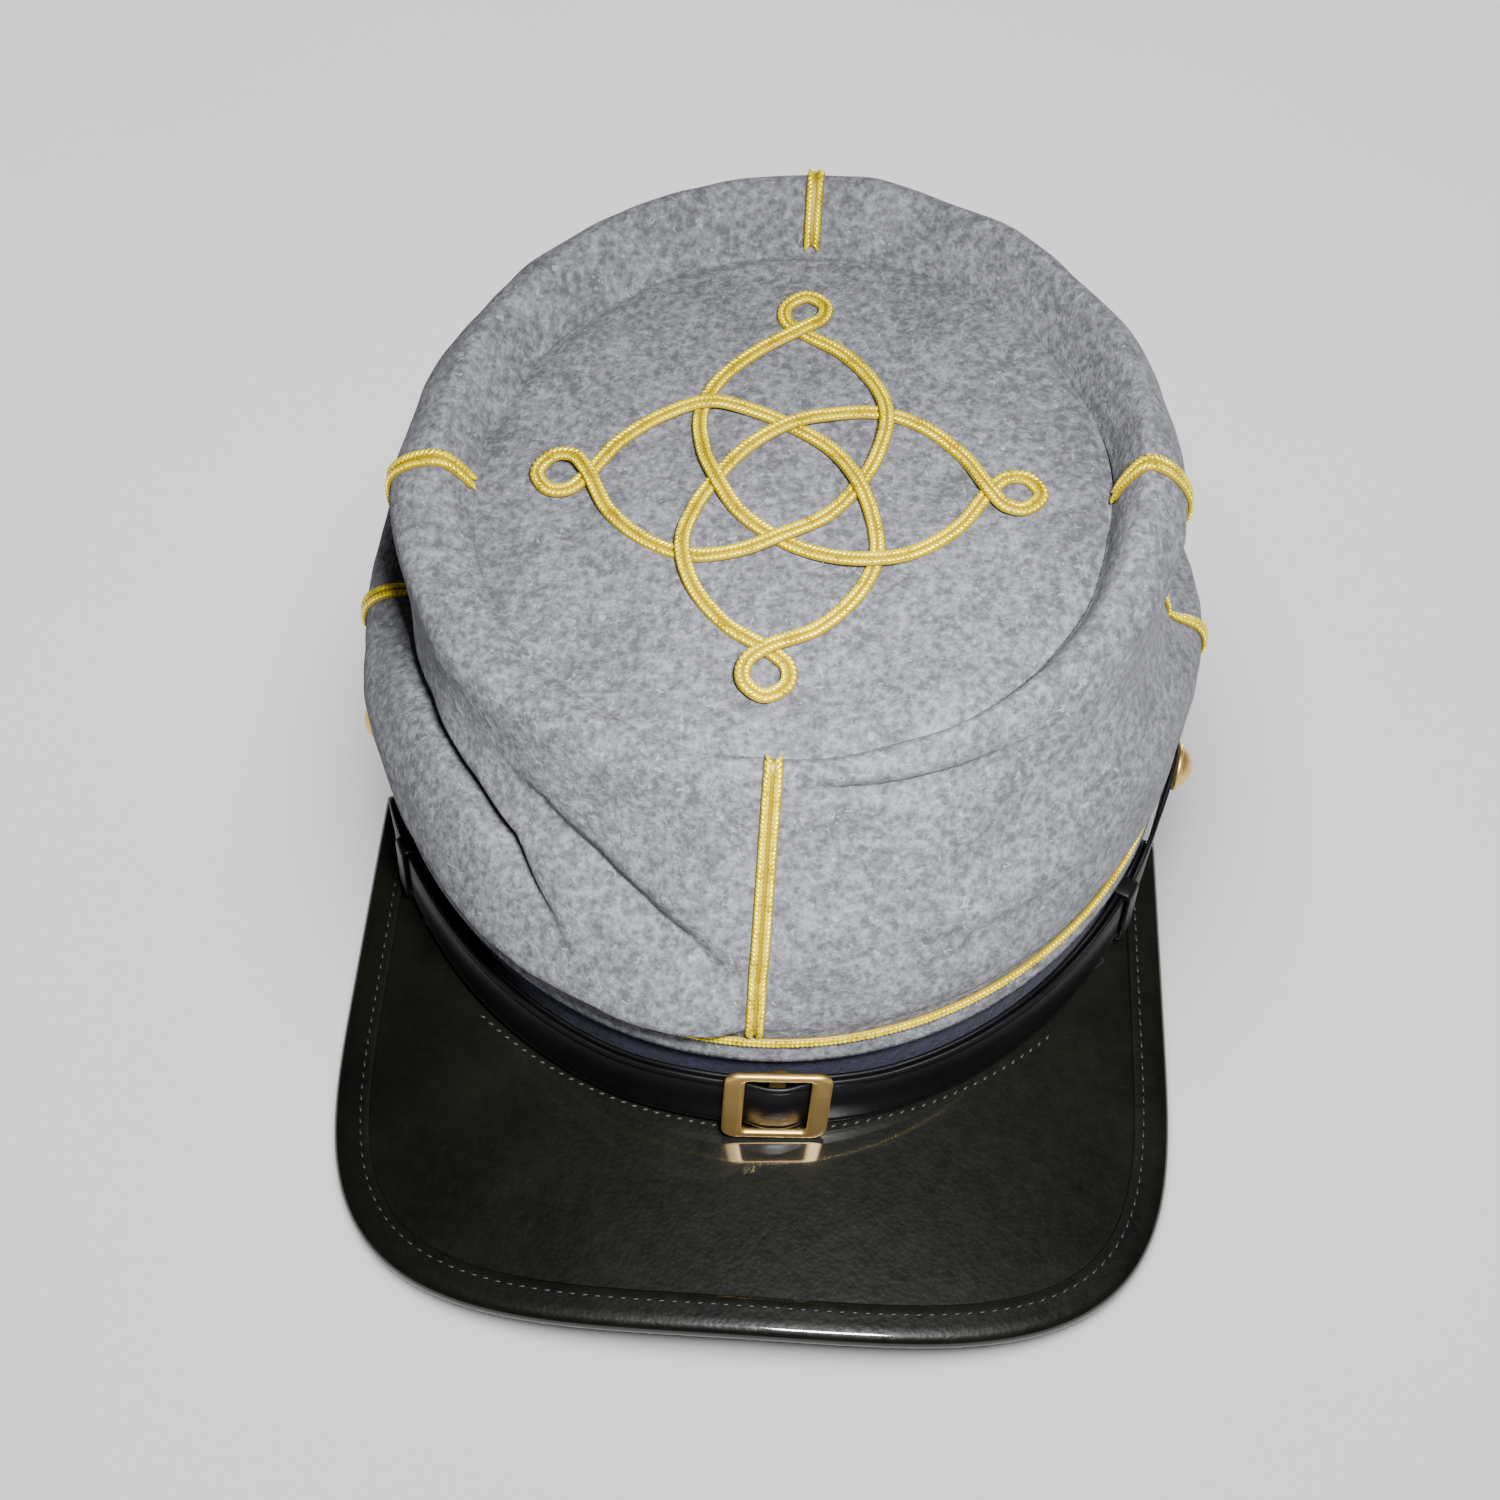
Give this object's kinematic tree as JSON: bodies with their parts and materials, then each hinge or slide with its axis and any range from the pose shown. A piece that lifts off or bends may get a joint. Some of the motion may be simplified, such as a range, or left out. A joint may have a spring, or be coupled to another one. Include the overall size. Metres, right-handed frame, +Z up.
{
  "type": "kepi",
  "caption": "Kepi with a sunken round top, soft folded crown, braid knot and seam braids, cloth band, square-cornered leather visor, chin strap with slide buckle, side buttons.",
  "frame": {"origin": "centre of the bounding box on the surface the cap rests on, right way up", "axes": "+Z up from that surface, -Y towards the visor, +X the wearer's left"},
  "size_m": [0.1919, 0.256, 0.1172],
  "materials": {
    "crown_wool": "mottled grey wool felt cloth, matt",
    "navy_cloth": "dark navy wool cloth, matt",
    "gold_braid": "metallic gold thread braid, glossy",
    "visor_leather": "black polished leather, glossy, fine grain",
    "strap_leather": "black polished strap leather",
    "brass": "polished brass, slightly worn"
  },
  "bodies": {
    "root": {"crown_side": "crown_wool", "crown_top": "crown_wool", "band": "navy_cloth", "base_braid": "gold_braid", "braid_front": "gold_braid", "braid_back": "gold_braid", "braid_left": "gold_braid", "braid_right": "gold_braid", "knot_braid": "gold_braid", "visor": "visor_leather", "visor_binding": "visor_leather", "chin_strap_outer": "strap_leather", "chin_strap_inner": "strap_leather", "keeper_left": "strap_leather", "keeper_right": "strap_leather", "buckle": "brass", "button_left": "brass", "button_right": "brass"}
  },
  "joints": []
}
